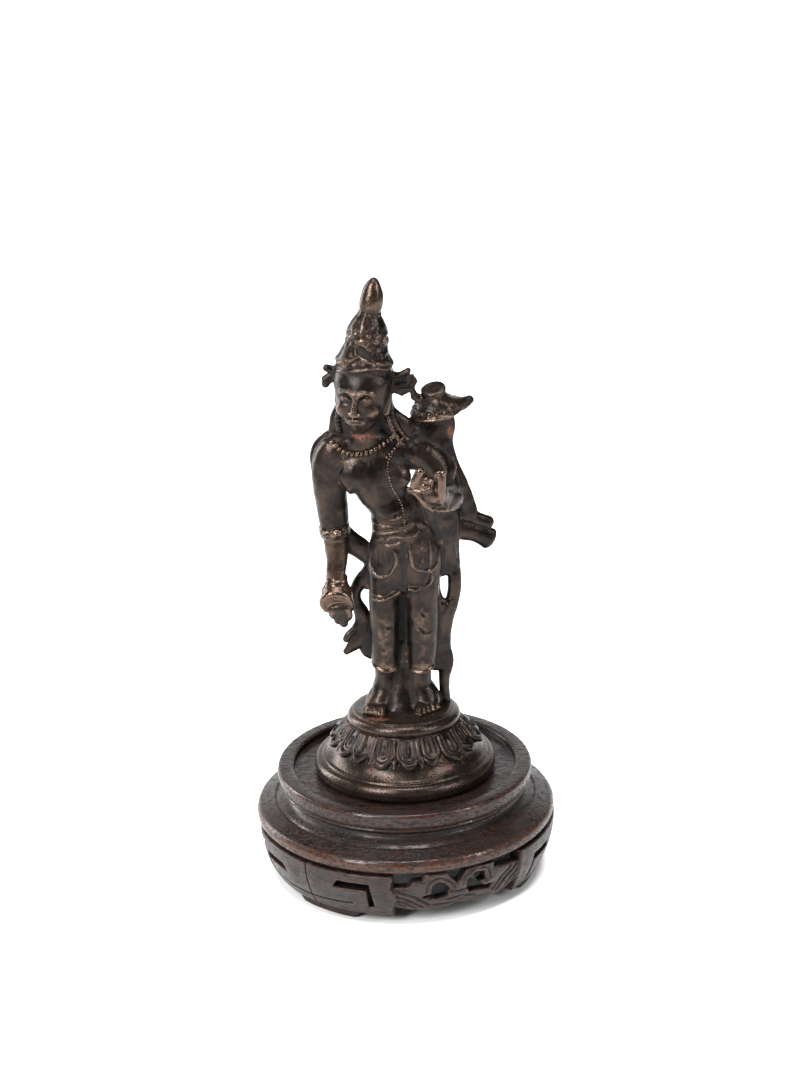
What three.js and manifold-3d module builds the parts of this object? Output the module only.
// A small cast bronze standing figure of the tara type on its lotus base, in a turned and carved
// hardwood stand.
// Millimetres, +Z up. The origin is on the floor under the middle of the stand. The figure faces -Y.
import * as THREE from 'three';
import { LoftGeometry } from 'three/addons/geometries/LoftGeometry.js';
import { mergeVertices } from 'three/addons/utils/BufferGeometryUtils.js';
import Module from 'manifold-3d';

const wasm = await Module();
wasm.setup();

// Driving dimensions of the whole object
const TOTAL_HEIGHT = 157.5;
const STAND_RADIUS = 38;
const FIT_GAP = 0.3;

// Turned top of the stand
const TOP_UNDERSIDE_Z = 15;
const SHOULDER_Z = 19.2;
const WAIST_RADIUS = 30;
const WAIST_Z = 22;
const RIM_RADIUS = 32.3;
const RIM_Z = 28.9;
const TRAY_RADIUS = 28.4;
const TRAY_FLOOR_Z = 27.2;
const TOP_SEGMENTS = 40;

// Carved wall under the top, in three segments
const WALL_THICKNESS = 3.8;
const WALL_BOTTOM_Z = 2.2;
const WALL_BOTTOM_INSET = 3.9;
const WALL_CURVE_POWER = 2.1;
const WALL_MIDDLE_Z = 6.4;
const WALL_STEP_DEG = 8;
const FOOT_RADIUS = 33;
const FOOT_THICKNESS = 3.6;
const FOOT_TAPER_DEG = 3.5;
const FOOT_BEVEL = 0.7;
const FOOT_OVERLAP = 0.5;
const SHORTEST_FOOT_DEG = 2;
const SEAM_HALF_GAP_DEG = 0.23;
const SLOT_BAR = 2;
const SLOT_TOP_Z = 12.1;
const SLOT_BOTTOM_Z = 5.1;
const SLOT_LEG_FROM_SEAM_DEG = 26.2;
const SLOT_LEG_DEG = 2.5;
const SLOT_END_FROM_SEAM_DEG = 12;
const SCALLOP_TOP_Z = 5;
const SCALLOP_RISE = 1.8;
const SCALLOP_POINTS = 10;
const BELOW_FLOOR_Z = -3;
const CUT_INNER_RADIUS = 26;
const CUT_OUTER_RADIUS = 42;
const WALL_SEGMENTS = [
  { name: 'stand_apron_a', start: -42.2, end: 85.8, leftFret: 36.4, rightFret: 36.4 },
  { name: 'stand_apron_c', start: 85.8, end: 201.8, leftFret: 33, rightFret: 33 },
  { name: 'stand_apron_b', start: 201.8, end: 317.8, leftFret: 33, rightFret: 31.6 },
];
const FEET = [
  { start: -55.5, end: -21.5 },
  { start: 57, end: 98 },
  { start: 183, end: 220 },
];

// Bronze lotus base
const BASE_CENTRE_X = 0.2;
const BASE_RADIUS = 23;
const BASE_BOTTOM_Z = TRAY_FLOOR_Z + FIT_GAP;
const BASE_TOP_Z = 44.6;
const BASE_TOP_RADIUS = 14.1;
const PETAL_COUNT = 18;
const POINTS_PER_PETAL = 2;
const PETAL_BULGE = 1;
const PETAL_VALLEY = 0.5;
const PETAL_TIP_RADIUS = 19.1;
const PETAL_TIP_Z = 35.6;

// Head, crown and lotus
const HEAD_CENTRE = [-7.8, -1.6, 128.3];
const HEAD_HALF_WIDTH = 6.5;
const HEAD_HALF_DEPTH = 6.2;
const HEAD_HALF_HEIGHT = 8.2;
const JAW_NARROWING = 0.3;
const BROW_NARROWING = 0.08;
const HEAD_TURN_DEG = -16;
const HEAD_LEAN_DEG = 3;
const CROWN_BASE = [-7.3, 0, 134.5];
const CROWN_TOP_X = -4.4;
const LOTUS_CENTRE = [9.9, 2.6, 123.4];
const LOTUS_RADIUS = 6.4;
const LOTUS_LEAN_DEG = 9;

// Rounded end of a limb: size of the last section and its reach, both as shares of the section before it
const END_SCALE = 0.62;
const END_REACH = 0.6;

const FULL_TURN_DEG = 360;
const FRONT = new THREE.Vector3(0, -1, 0);
const UP = new THREE.Vector3(0, 0, 1);
const radians = THREE.MathUtils.degToRad;

// Solids from geometry

function toSolid(geometry) {
  const bare = geometry.index ? geometry.toNonIndexed() : geometry.clone();
  bare.deleteAttribute('normal');
  bare.deleteAttribute('uv');
  const merged = mergeVertices(bare, 1e-4);
  const index = merged.index.array;
  const position = merged.attributes.position;
  const triangles = [];
  const corners = [new THREE.Vector3(), new THREE.Vector3(), new THREE.Vector3()];
  let volume = 0;
  for (let t = 0; t < index.length; t += 3) {
    const [a, b, c] = [index[t], index[t + 1], index[t + 2]];
    if (a === b || b === c || c === a) continue;
    triangles.push([a, b, c]);
    [a, b, c].forEach((vertex, k) => corners[k].fromBufferAttribute(position, vertex));
    volume += corners[0].dot(corners[1].clone().cross(corners[2]));
  }
  const ordered = volume < 0 ? triangles.map(([a, b, c]) => [a, c, b]) : triangles;
  return new wasm.Manifold(new wasm.Mesh({
    numProp: 3,
    vertProperties: new Float32Array(position.array),
    triVerts: new Uint32Array(ordered.flat()),
  }));
}

function toMesh(name, solid, finish) {
  const result = solid.getMesh();
  const geometry = new THREE.BufferGeometry();
  geometry.setAttribute('position', new THREE.BufferAttribute(Float32Array.from(result.vertProperties), 3));
  geometry.setIndex(new THREE.BufferAttribute(Uint32Array.from(result.triVerts), 1));
  geometry.computeVertexNormals();
  const mesh = new THREE.Mesh(geometry, new THREE.MeshStandardMaterial(finish));
  mesh.name = name;
  return mesh;
}

function joined(solids) {
  return solids.reduce((whole, solid) => whole.add(solid));
}

// A body with oval sections along a smooth curve. A station is [x, y, z, half width, half depth].
// The half depth is measured towards `facing`, by default the front.
function limb(stations, { sides = 10, steps = 1, facing = FRONT, rounded = true } = {}) {
  const curve = new THREE.CatmullRomCurve3(stations.map(([x, y, z]) => new THREE.Vector3(x, y, z)));
  const sizes = new THREE.CatmullRomCurve3(stations.map(([, , , w, d]) => new THREE.Vector3(w, d ?? w, 0)));
  const last = stations.length - 1;
  const rows = [];
  for (let i = 0; i <= last * steps; i += 1) rows.push({ t: i / (last * steps), scale: 1, shift: 0 });
  if (rounded) {
    rows.unshift({ t: 0, scale: END_SCALE, shift: -END_REACH });
    rows.push({ t: 1, scale: END_SCALE, shift: END_REACH });
  }
  const sections = rows.map(({ t, scale, shift }) => {
    const size = sizes.getPoint(t);
    const tangent = curve.getTangent(t);
    const across = new THREE.Vector3().crossVectors(tangent, facing).normalize();
    const depth = new THREE.Vector3().crossVectors(tangent, across).normalize();
    const centre = curve.getPoint(t).addScaledVector(tangent, shift * Math.min(size.x, size.y));
    return Array.from({ length: sides }, (_, j) => {
      const angle = (2 * Math.PI * j) / sides;
      return centre.clone()
        .addScaledVector(across, Math.cos(angle) * size.x * scale)
        .addScaledVector(depth, Math.sin(angle) * size.y * scale);
    });
  });
  return toSolid(new LoftGeometry(sections, { capStart: true, capEnd: true }));
}

function ball([x, y, z], [rx, ry, rz], { columns = 8, rows = 5 } = {}) {
  const geometry = new THREE.SphereGeometry(1, columns, rows);
  geometry.rotateX(Math.PI / 2);
  geometry.scale(rx, ry, rz);
  geometry.translate(x, y, z);
  return toSolid(geometry);
}

// A turned form about +Z from [radius, z] pairs that start and end on the axis
function turned(profile, segments) {
  const geometry = new THREE.LatheGeometry(profile.map(([r, z]) => new THREE.Vector2(r, z)), segments);
  geometry.rotateX(Math.PI / 2);
  return geometry;
}

function cord(points, radius, { steps = 10, sides = 4 } = {}) {
  const curve = new THREE.CatmullRomCurve3(points.map((p) => new THREE.Vector3(...p)));
  const section = new THREE.Shape();
  for (let i = 0; i < sides; i += 1) {
    const angle = (2 * Math.PI * i) / sides;
    const move = i === 0 ? 'moveTo' : 'lineTo';
    section[move](radius * Math.cos(angle), radius * Math.sin(angle));
  }
  section.closePath();
  return toSolid(new THREE.ExtrudeGeometry(section, { steps, extrudePath: curve, bevelEnabled: false }));
}

// The stand

function buildStandTop() {
  const profile = [
    [0, TOP_UNDERSIDE_Z],
    [STAND_RADIUS - 0.7, TOP_UNDERSIDE_Z],
    [STAND_RADIUS, TOP_UNDERSIDE_Z + 1.8],
    [STAND_RADIUS - 0.7, SHOULDER_Z - 0.8],
    [STAND_RADIUS - 1.6, SHOULDER_Z - 0.2],
    [WAIST_RADIUS + 3, SHOULDER_Z + 1],
    [WAIST_RADIUS + 1.3, SHOULDER_Z + 1.6],
    [WAIST_RADIUS, WAIST_Z],
    [RIM_RADIUS - 0.7, WAIST_Z + 1.9],
    [RIM_RADIUS, RIM_Z - 2],
    [RIM_RADIUS - 0.5, RIM_Z - 0.6],
    [TRAY_RADIUS + 2, RIM_Z],
    [TRAY_RADIUS, RIM_Z],
    [TRAY_RADIUS - 0.6, TRAY_FLOOR_Z],
    [0, TRAY_FLOOR_Z],
  ];
  return toSolid(turned(profile, TOP_SEGMENTS));
}

// Outer radius of the wall at a height: upright above, curving in below
function wallRadius(z) {
  const span = TOP_UNDERSIDE_Z - WALL_BOTTOM_Z;
  const drop = THREE.MathUtils.clamp((TOP_UNDERSIDE_Z - z) / span, 0, 1);
  return STAND_RADIUS - WALL_BOTTOM_INSET * drop ** WALL_CURVE_POWER;
}

function onWall(radius, degrees, z) {
  const angle = radians(degrees);
  return new THREE.Vector3(radius * Math.sin(angle), -radius * Math.cos(angle), z);
}

// A closed ring sector with the given [radius, z] outline, swept between two angles
function sector(outline, startDeg, endDeg) {
  const steps = Math.max(1, Math.round((endDeg - startDeg) / WALL_STEP_DEG));
  const sections = [];
  for (let i = 0; i <= steps; i += 1) {
    const degrees = THREE.MathUtils.lerp(startDeg, endDeg, i / steps);
    sections.push(outline(degrees).map(([r, z]) => onWall(r, degrees, z)).reverse());
  }
  return toSolid(new LoftGeometry(sections, { capStart: true, capEnd: true }));
}

// A radial cutter from an outline of [degrees, z] pairs
function radialCut(outline) {
  const shape = new THREE.Shape(outline.map(([degrees, z]) => new THREE.Vector2(degrees, z)));
  const geometry = new THREE.ExtrudeGeometry(shape, { depth: 1, steps: 1, bevelEnabled: false });
  const position = geometry.attributes.position;
  for (let i = 0; i < position.count; i += 1) {
    const radius = THREE.MathUtils.lerp(CUT_INNER_RADIUS, CUT_OUTER_RADIUS, position.getZ(i));
    const point = onWall(radius, position.getX(i), position.getY(i));
    position.setXYZ(i, point.x, point.y, point.z);
  }
  return toSolid(geometry);
}

// The L-shaped fret slot beside a seam. `side` is 1 to the right of the seam and -1 to the left.
function fretSlot(seamDeg, side) {
  const at = (fromSeam) => seamDeg + side * fromSeam;
  const leg = SLOT_LEG_FROM_SEAM_DEG;
  return radialCut([
    [at(SLOT_END_FROM_SEAM_DEG), SLOT_TOP_Z - SLOT_BAR],
    [at(SLOT_END_FROM_SEAM_DEG + 2.3), SLOT_TOP_Z],
    [at(leg + 1), SLOT_TOP_Z],
    [at(leg + SLOT_LEG_DEG), SLOT_BOTTOM_Z + 0.1],
    [at(leg), SLOT_BOTTOM_Z],
    [at(leg - 0.1), SLOT_TOP_Z - SLOT_BAR],
  ]);
}

// The pierced scroll panel: one corner opening, one arch and half of the middle opening on each side
function scrollOpenings(centreDeg, halfWidthDeg) {
  const cuts = [];
  [-1, 1].forEach((side) => {
    const at = (fromCentre) => centreDeg + side * fromCentre;
    const edge = halfWidthDeg - 0.2;
    cuts.push(radialCut([
      [at(edge), TOP_UNDERSIDE_Z + 1],
      [at(edge), 11.3],
      [at(edge - 5.6), 11.5],
      [at(edge - 8), 12.9],
      [at(edge - 11.6), 13.2],
      [at(edge - 12.6), TOP_UNDERSIDE_Z + 1],
    ]));
    const arch = [];
    for (let i = 0; i <= 3; i += 1) {
      const turn = Math.PI * (i / 3);
      arch.push([at(8.4 - 3.6 * Math.cos(turn)), 10.2 + 2.1 * Math.sin(turn)]);
    }
    arch.push([at(13.4), 8.6], [at(15.6), 8], [at(9.5), 7.1], [at(5.1), 7.6]);
    cuts.push(radialCut(arch));
  });
  cuts.push(radialCut([
    [centreDeg - 5.2, TOP_UNDERSIDE_Z + 1],
    [centreDeg - 4.4, 13.6],
    [centreDeg - 0.8, 11.5],
    [centreDeg + 0.8, 11.5],
    [centreDeg + 4.4, 13.6],
    [centreDeg + 5.2, TOP_UNDERSIDE_Z + 1],
  ]));
  return cuts;
}

// The scalloped lower edge of the scroll panel
function scallopCut(centreDeg, halfWidthDeg) {
  const outline = [];
  for (let i = 0; i <= SCALLOP_POINTS; i += 1) {
    const from = THREE.MathUtils.lerp(-halfWidthDeg, halfWidthDeg, i / SCALLOP_POINTS);
    const lobe = Math.abs(Math.cos((from / halfWidthDeg) * Math.PI));
    outline.push([centreDeg + from, SCALLOP_TOP_Z - SCALLOP_RISE * (1 - lobe) ** 0.7]);
  }
  outline.push([centreDeg + halfWidthDeg, BELOW_FLOOR_Z], [centreDeg - halfWidthDeg, BELOW_FLOOR_Z]);
  return radialCut(outline);
}

function buildWallSegment({ start, end, leftFret, rightFret }) {
  const first = start + SEAM_HALF_GAP_DEG;
  const last = end - SEAM_HALF_GAP_DEG;
  const top = TOP_UNDERSIDE_Z - FIT_GAP;
  const heights = [WALL_BOTTOM_Z, WALL_MIDDLE_Z, top];
  const outer = heights.map((z) => [wallRadius(z), z]);
  const inner = heights.map((z) => [wallRadius(z) - WALL_THICKNESS, z]).reverse();
  const wall = sector(() => [...outer, ...inner], first, last);

  const panelStart = start + leftFret;
  const panelEnd = end - rightFret;
  const centre = (panelStart + panelEnd) / 2;
  const half = (panelEnd - panelStart) / 2;
  const cuts = [
    fretSlot(start, 1),
    fretSlot(end, -1),
    ...scrollOpenings(centre, half),
    scallopCut(centre, half),
  ];

  const feet = FEET.flatMap((foot) => [-FULL_TURN_DEG, 0, FULL_TURN_DEG].map((shift) => ({
    start: foot.start + shift,
    end: foot.end + shift,
  })));
  const parts = [cuts.reduce((body, cut) => body.subtract(cut), wall)];
  feet.forEach((foot) => {
    const from = Math.max(foot.start, first);
    const to = Math.min(foot.end, last);
    if (to - from < SHORTEST_FOOT_DEG) return;
    const outline = (degrees) => {
      const edge = Math.min(degrees - foot.start, foot.end - degrees);
      const depth = THREE.MathUtils.clamp(edge / FOOT_TAPER_DEG, 0, 1);
      const low = THREE.MathUtils.lerp(WALL_BOTTOM_Z - FOOT_BEVEL, 0, depth);
      const high = WALL_BOTTOM_Z + FOOT_OVERLAP;
      const inside = FOOT_RADIUS - FOOT_THICKNESS;
      return [[FOOT_RADIUS, low], [FOOT_RADIUS + 0.4, high], [inside + 1, high], [inside, low]];
    };
    parts.push(sector(outline, from, to));
  });
  return joined(parts);
}

// The bronze

// The lotus base as stacked rings. Each petal adds a rounded bulge that grows down to its tip.
function buildLotusBase() {
  const bottom = BASE_BOTTOM_Z;
  const rings = [
    [BASE_RADIUS - 0.7, bottom, 0],
    [BASE_RADIUS, bottom + 1.8, 0],
    [BASE_RADIUS - 0.6, bottom + 3.3, 0],
    [BASE_RADIUS - 2.4, bottom + 4.6, 0],
    [BASE_RADIUS - 4.7, bottom + 7.4, 0],
    [PETAL_TIP_RADIUS - 1.6, PETAL_TIP_Z, 1],
    [PETAL_TIP_RADIUS - 2.6, PETAL_TIP_Z + 1.7, 1],
    [BASE_TOP_RADIUS, BASE_TOP_Z - 4.2, 0.5],
    [BASE_TOP_RADIUS - 0.3, BASE_TOP_Z - 3.2, 0],
    [BASE_TOP_RADIUS, BASE_TOP_Z - 1.7, 0],
    [BASE_TOP_RADIUS - 0.8, BASE_TOP_Z - 0.4, 0],
    [BASE_TOP_RADIUS - 2.4, BASE_TOP_Z, 0],
  ];
  const points = PETAL_COUNT * POINTS_PER_PETAL;
  const sections = rings.map(([radius, z, bulge]) => Array.from({ length: points }, (_, i) => {
    const inValley = i % POINTS_PER_PETAL === 0;
    const out = radius + bulge * (inValley ? -PETAL_VALLEY : PETAL_BULGE);
    const halfPetalDeg = FULL_TURN_DEG / PETAL_COUNT / 2;
    const point = onWall(out, ((i + 0.5) * FULL_TURN_DEG) / points - halfPetalDeg, z);
    return point.setX(point.x + BASE_CENTRE_X);
  }));
  return toSolid(new LoftGeometry(sections, { capStart: true, capEnd: true }));
}

function buildLegs() {
  const right = limb([
    [-3.2, 0, 86, 4, 4],
    [-3.9, -0.2, 75.9, 3.75, 3.9],
    [-4, -0.4, 68, 3.65, 3.6],
    [-3.9, -0.6, 60, 3.5, 3.4],
    [-4, -0.8, 55.6, 3.2, 3.2],
    [-4.1, 0, 53.6, 2.8, 2.7],
    [-4.2, 0.6, 49.4, 2.8, 2.9],
    [-4.2, 0.8, 45.4, 2.9, 3.1],
  ], { sides: 9, rounded: false });
  const left = limb([
    [5.6, 0, 86, 4.6, 4],
    [6, -0.2, 75.6, 4.2, 4],
    [5.6, -0.4, 67.7, 3.9, 3.7],
    [5.3, -0.6, 60, 3.6, 3.4],
    [5.1, -0.8, 55.6, 3.3, 3.2],
    [4.7, 0, 53.6, 2.9, 2.7],
    [4.4, 0.6, 49.4, 2.8, 2.9],
    [4.4, 0.8, 45.4, 2.9, 3.1],
  ], { sides: 9, rounded: false });
  const web = limb([
    [0.6, 2, 84, 4.5, 2.4],
    [0.7, 2.2, 62, 3.4, 2],
    [0.3, 2, 50, 3, 1.6],
    [0.2, 1.4, 44.2, 4.4, 3.2],
  ], { sides: 6, rounded: false });
  return [right, left, web];
}

function buildFoot(heel, toeBig, toeSmall) {
  const [hx, hy] = heel;
  const middle = [(toeBig[0] + toeSmall[0]) / 2, (toeBig[1] + toeSmall[1]) / 2];
  const floor = BASE_TOP_Z;
  const sole = limb([
    [hx, hy, floor + 1.9, 2.3, 2.2],
    [(hx + middle[0]) / 2, (hy + middle[1]) / 2, floor + 1.3, 2.6, 1.9],
    [middle[0], middle[1] + 0.9, floor + 0.5, 2.9, 1],
  ], { sides: 7, facing: UP });
  const toes = [0, 1, 2, 3, 4].map((i) => {
    const share = i / 4;
    const x = THREE.MathUtils.lerp(toeBig[0], toeSmall[0], share);
    const y = THREE.MathUtils.lerp(toeBig[1], toeSmall[1], share);
    const size = THREE.MathUtils.lerp(0.85, 0.6, share);
    return ball([x, y, floor + 0.5], [size, 1.5, size], { columns: 5, rows: 3 });
  });
  return [sole, ...toes];
}

function buildTorso() {
  const trunk = limb([
    [1.4, 0, 74.4, 8.9, 4.9],
    [1.5, 0, 76.5, 8.7, 4.7],
    [2, 0, 85, 9.1, 5],
    [1, 0, 90.5, 8, 4.6],
    [-0.9, 0, 94.8, 5.8, 4],
    [-2.4, -0.3, 99, 5.9, 4.2],
    [-4.1, -0.2, 104, 7.3, 4.6],
    [-5.1, 0.2, 109, 8.4, 4.5],
    [-5.9, 0.6, 113.4, 8.4, 3.6],
    [-7.2, 0.2, 118, 3.4, 3.1],
    [-7.7, -0.4, 124, 3, 3],
  ], { sides: 10, rounded: false });
  return [
    trunk,
    ball([-9, -2.2, 105.4], [3.4, 3, 3.4], { columns: 7, rows: 5 }),
    ball([0, -2.8, 106.4], [3.2, 2.4, 3], { columns: 7, rows: 5 }),
    limb([[-9.6, 0.4, 110.6, 4, 3], [-12.6, 0.4, 107.6, 2.6, 2.6]], { sides: 6 }),
  ];
}

function buildSkirtDetail() {
  const loop = (points) => cord(points, 0.55, { steps: 8 });
  return [
    loop([[-6.2, -3.2, 86], [-6.1, -4, 82], [-4, -4.6, 79.6], [-1.2, -4.9, 81], [-0.2, -4.8, 85]]),
    loop([[2, -4.9, 85.6], [3.3, -5, 82], [5.6, -4.7, 80.9], [8.4, -3.8, 82.2], [9.6, -2.9, 86]]),
    loop([[-8, -0.6, 76.3], [-5.6, -3.7, 74.9], [-1, -5, 74.9], [2.2, -5.2, 76.5], [5, -4.9, 76.2],
      [7.6, -4, 79], [8.6, -3.6, 82]]),
  ];
}

function buildRightArm() {
  const arm = limb([
    [-12.4, 0.8, 114.6, 3.2, 3],
    [-16.2, 0.8, 112, 4, 3.7],
    [-17.3, 0.7, 106, 3.9, 3.7],
    [-16.8, 0.5, 100, 3.8, 3.5],
    [-15.9, 0.2, 94.9, 3.5, 3.3],
    [-15.6, 0, 93.6, 4, 3.8],
    [-15.5, -0.3, 91.6, 3.9, 3.7],
    [-15.3, -0.6, 90.6, 3, 2.9],
    [-15.2, -1.8, 85, 2.5, 2.4],
    [-15.6, -2.8, 81.6, 2.3, 2.2],
    [-15.6, -2.9, 80.4, 2.8, 2.6],
    [-15.7, -3.1, 78.9, 2.7, 2.5],
    [-15.6, -4, 76.6, 4.1, 2.8],
    [-15.4, -4.4, 74.6, 3.8, 2.2],
  ], { sides: 8 });
  const boss = ball([-15.1, -3.5, 93.2], [1.4, 1.1, 1.4], { columns: 6, rows: 4 });
  const thumb = limb([
    [-18.4, -4.8, 76, 1.2, 1.3],
    [-18.6, -5.2, 74.4, 1.1, 1.2],
    [-17.9, -5.3, 73, 0.9, 1],
  ], { sides: 5 });
  const fingers = limb([
    [-14.6, -4.2, 75, 2.9, 2],
    [-14.3, -4.9, 72.4, 2.6, 1.9],
    [-14.3, -5.2, 70.2, 1.5, 1.2],
  ], { sides: 6 });
  return [arm, boss, thumb, fingers];
}

function buildLeftArm() {
  const upper = limb([
    [3.4, 1, 113.6, 3.8, 3.4],
    [7.4, 1.4, 110.6, 4.6, 3.7],
    [11.6, 1.4, 105.6, 4.7, 3.8],
    [13.2, 0.8, 101.6, 3.6, 3.4],
  ], { sides: 8 });
  const fore = limb([
    [13.2, 1, 101.6, 3.4, 3.4],
    [12.3, -3.6, 102.6, 3.2, 3.1],
    [10.4, -8, 104.4, 2.9, 2.7],
    [8.8, -10.6, 105.8, 3, 2.6],
  ], { sides: 9, facing: UP });
  const cuff = limb([
    [3.6, -10.8, 106.6, 0.7, 1.4],
    [6.2, -10.6, 104.2, 0.8, 2.2],
    [8.9, -9.4, 101.9, 0.9, 2.8],
    [11.6, -7.8, 101, 0.9, 3],
    [14.6, -4, 101, 0.9, 2.6],
  ], { sides: 6, steps: 2, facing: new THREE.Vector3(-0.5, 0.2, 1) });
  const fingers = limb([
    [7.6, -11.2, 106.2, 1.7, 1.6],
    [5.6, -12, 107.6, 1.7, 1.3],
    [6, -12.2, 109.4, 1.2, 1.1],
    [6.1, -12, 111.4, 1.2, 1.1],
  ], { sides: 6 });
  const thumb = limb([
    [10.2, -11.6, 105.4, 1.2, 1.3],
    [10.8, -12.2, 108.6, 1.1, 1.2],
    [10.7, -12.5, 111, 0.9, 1],
  ], { sides: 5 });
  const palm = ball([8.4, -11, 107.4], [3.1, 1.9, 2.8], { columns: 7, rows: 5 });
  return [upper, fore, cuff, fingers, thumb, palm];
}

function buildHead() {
  const skull = new THREE.SphereGeometry(1, 10, 8);
  skull.rotateX(Math.PI / 2);
  const position = skull.attributes.position;
  for (let i = 0; i < position.count; i += 1) {
    const z = position.getZ(i);
    const narrow = 1 - (z < 0 ? JAW_NARROWING : BROW_NARROWING) * z * z;
    const x = position.getX(i) * HEAD_HALF_WIDTH * narrow;
    const y = position.getY(i) * HEAD_HALF_DEPTH * narrow;
    position.setXYZ(i, x, y, z * HEAD_HALF_HEIGHT);
  }
  const nose = new THREE.ConeGeometry(1.5, 4.6, 4);
  nose.rotateX(Math.PI / 2);
  nose.rotateX(radians(-18));
  nose.translate(0, -HEAD_HALF_DEPTH + 0.5, 0.2);
  const turnHead = (geometry) => {
    geometry.rotateZ(radians(HEAD_TURN_DEG));
    geometry.rotateY(radians(HEAD_LEAN_DEG));
    geometry.translate(...HEAD_CENTRE);
    return toSolid(geometry);
  };
  const hair = limb([
    [-7.2, 1.6, 134, 6.4, 5.2],
    [-7.2, 2, 128, 6.9, 5],
    [-7.2, 2, 124, 7.2, 3.6],
    [-7.6, 2, 119.6, 8.4, 3.2],
    [-6.4, 2, 115.4, 10, 3],
    [-5.8, 1.8, 111, 9, 2.6],
  ], { sides: 10, rounded: false });
  const rightRibbon = [
    limb([
      [-13.4, 1.2, 132, 1.8, 1],
      [-15.4, 0.9, 134, 1.2, 0.8],
      [-16.4, 0.8, 134.8, 0.9, 0.7],
    ], { sides: 5 }),
    limb([
      [-13.4, 1.2, 131, 1.8, 1],
      [-15.2, 0.9, 130.6, 1.2, 0.8],
      [-16.2, 0.8, 130.6, 1, 0.7],
    ], { sides: 5 }),
  ];
  const leftRibbon = limb([
    [-1.6, 1.6, 130.2, 3, 1.1],
    [2, 1.4, 129.8, 3.3, 0.9],
    [4.6, 1.3, 129.4, 3.9, 0.8],
  ], { sides: 6, rounded: false });
  const band = new THREE.TorusGeometry(6.1, 0.8, 4, 14);
  band.scale(1, 1, 1.2);
  band.rotateX(radians(6));
  band.rotateY(radians(HEAD_LEAN_DEG));
  band.translate(-7.1, -0.4, 135.8);
  return [turnHead(skull), turnHead(nose), hair, ...rightRibbon, leftRibbon, toSolid(band)];
}

function buildCrown() {
  const [x, y, z] = CROWN_BASE;
  const rise = TOTAL_HEIGHT - z;
  const lean = (share) => [x + (CROWN_TOP_X - x) * share, y, z + rise * share];
  const stations = [
    [0, 6], [0.16, 6], [0.3, 5.3], [0.42, 4.8], [0.52, 3.3], [0.58, 2.5], [0.66, 2.3], [0.76, 2.8], [0.88, 2],
    [0.97, 0.9], [1, 0.3],
  ];
  return limb(stations.map(([share, radius]) => [...lean(share), radius, radius]),
    { sides: 9, rounded: false });
}

function buildLotus() {
  const profile = [
    [0, -2.2], [2.4, -1.8], [LOTUS_RADIUS - 0.8, -2], [LOTUS_RADIUS, -1.4], [4.8, 0.8], [2.4, 2.2], [3, 3.8],
    [2.6, 5.1], [0, 5.3],
  ];
  const lean = (geometry) => {
    geometry.rotateX(radians(LOTUS_LEAN_DEG));
    geometry.translate(...LOTUS_CENTRE);
    return toSolid(geometry);
  };
  const parts = [lean(turned(profile, 14))];
  parts.push(limb([[13.6, 3, 123.2, 2.6, 0.9], [16.6, 3.4, 123.6, 1.7, 0.8], [18.9, 3.7, 124.9, 0.7, 0.5]],
    { sides: 6, facing: UP }));
  return parts;
}

function buildStem() {
  const stem = limb([
    [10.6, 3, 121.6, 3, 2],
    [11, 3, 117.6, 2.6, 1.8],
    [11.6, 2.8, 112.6, 2.7, 1.8],
    [13.4, 2.6, 107, 2.6, 1.8],
    [15.6, 2.6, 101.6, 2.6, 1.8],
    [17.4, 2.8, 96.6, 2.3, 1.7],
  ], { sides: 6 });
  const web = limb([[6, 2.4, 119, 3, 1.5], [5, 2.4, 114, 5, 1.8], [8, 2.4, 108, 4.4, 1.8]], { sides: 6 });
  const lobes = [
    limb([[15.6, 3, 94, 1.8, 1.7], [22.3, 3.6, 92.7, 1.7, 1.5]], { sides: 6 }),
    limb([[15.4, 3, 91.4, 2.2, 1.8], [22.2, 3.6, 87.9, 2.2, 1.7]], { sides: 6 }),
  ];
  const sash = limb([
    [8.2, 1.4, 103, 5, 3],
    [9.4, 1.4, 98, 5.4, 3],
    [11.2, 1.6, 92, 4.6, 2.8],
    [11.6, 1.8, 86, 3.8, 2.3],
    [13, 2.2, 81.4, 2.4, 1.5],
  ], { sides: 6 });
  return [stem, web, ...lobes, sash];
}

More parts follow.
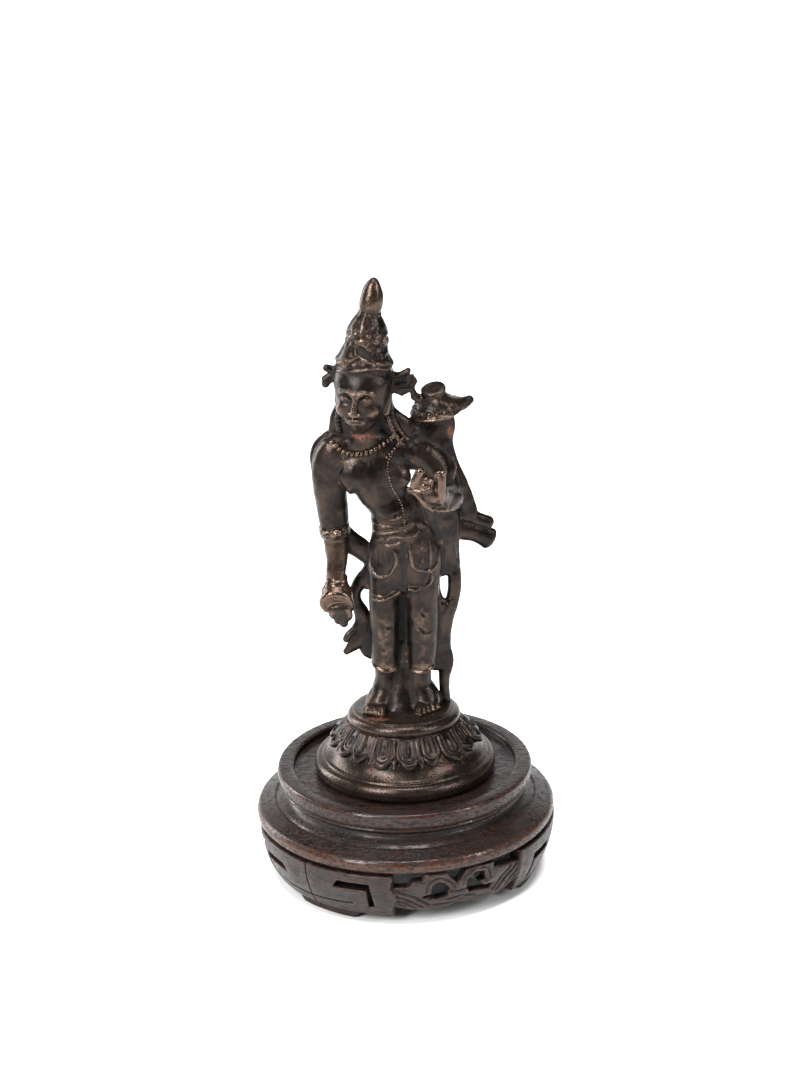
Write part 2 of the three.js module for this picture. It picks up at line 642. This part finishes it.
function buildScarves() {
  const left = limb([
    [13.2, 2.2, 84, 2, 1.3],
    [14.2, 2.4, 77.6, 1.5, 1.1],
    [13.6, 2.4, 72.6, 1.6, 1.1],
    [11.4, 2.2, 66.4, 1.8, 1.2],
    [10.6, 2.2, 59.4, 2.2, 1.2],
    [11.4, 2.4, 54.4, 1.9, 1.1],
    [10.8, 2.4, 50.4, 1.1, 1],
    [11, 2.6, 44.2, 1.2, 1.2],
  ], { sides: 6, rounded: false });
  const leftWeb = limb([[9.4, 1.8, 71.4, 2.2, 1.2], [8.6, 1.6, 63, 2, 1.2], [8.6, 1.6, 55.4, 1.8, 1]],
    { sides: 6 });
  const right = limb([
    [-13.6, 1.4, 97, 1.6, 1.4],
    [-11.6, 1.8, 92, 1.9, 1.4],
    [-8.6, 2.2, 87.6, 2, 1.4],
    [-7.6, 2.2, 83.6, 1.9, 1.3],
    [-9.6, 2.2, 78.6, 1.8, 1.2],
    [-11.2, 2.2, 74, 2, 1.2],
    [-10.4, 2, 69.4, 2.1, 1.2],
    [-8.8, 2, 64.6, 2, 1.2],
    [-8, 1.8, 59.8, 1.4, 1.1],
  ], { sides: 5 });
  const tails = [
    limb([[-9.6, 2, 66.4, 1.7, 1.1], [-12, 1.8, 64, 1.4, 1], [-13.6, 1.7, 63.2, 0.9, 0.8]], { sides: 6 }),
    limb([[-9.2, 2, 63.6, 2, 1.1], [-11.8, 1.8, 60.6, 1.5, 1], [-13.8, 1.7, 58.8, 0.8, 0.8]], { sides: 6 }),
  ];
  const shoulderEdge = limb([
    [-12.6, 2.8, 118.6, 1.8, 1.2],
    [-17.6, 2.8, 114.6, 1.8, 1.3],
    [-19.4, 2.4, 109, 1.6, 1.3],
    [-19, 2, 102, 1.4, 1.2],
    [-17.2, 1.6, 96, 1.6, 1.2],
  ], { sides: 6 });
  return [left, leftWeb, right, ...tails, shoulderEdge];
}

function buildBronze() {
  return joined([
    buildLotusBase(),
    ...buildLegs(),
    ...buildFoot([-4.2, 1.8], [-4.9, -5.4], [-9.4, -3.6]),
    ...buildFoot([4.4, 1.8], [4, -7], [9, -3.4]),
    ...buildTorso(),
    ...buildSkirtDetail(),
    ...buildRightArm(),
    ...buildLeftArm(),
    ...buildHead(),
    buildCrown(),
    ...buildLotus(),
    ...buildStem(),
    ...buildScarves(),
  ]);
}

const BRONZE = { color: 0x3a2a20, roughness: 0.42, metalness: 0.85 };
const TOP_WOOD = { color: 0x2c1611, roughness: 0.35, metalness: 0 };
const WALL_WOOD = { color: 0x332320, roughness: 0.45, metalness: 0 };

const object = new THREE.Group();
object.add(toMesh('bronze_figure', buildBronze(), BRONZE));
object.add(toMesh('stand_top', buildStandTop(), TOP_WOOD));
WALL_SEGMENTS.forEach((segment) => {
  object.add(toMesh(segment.name, buildWallSegment(segment), WALL_WOOD));
});

export default object;
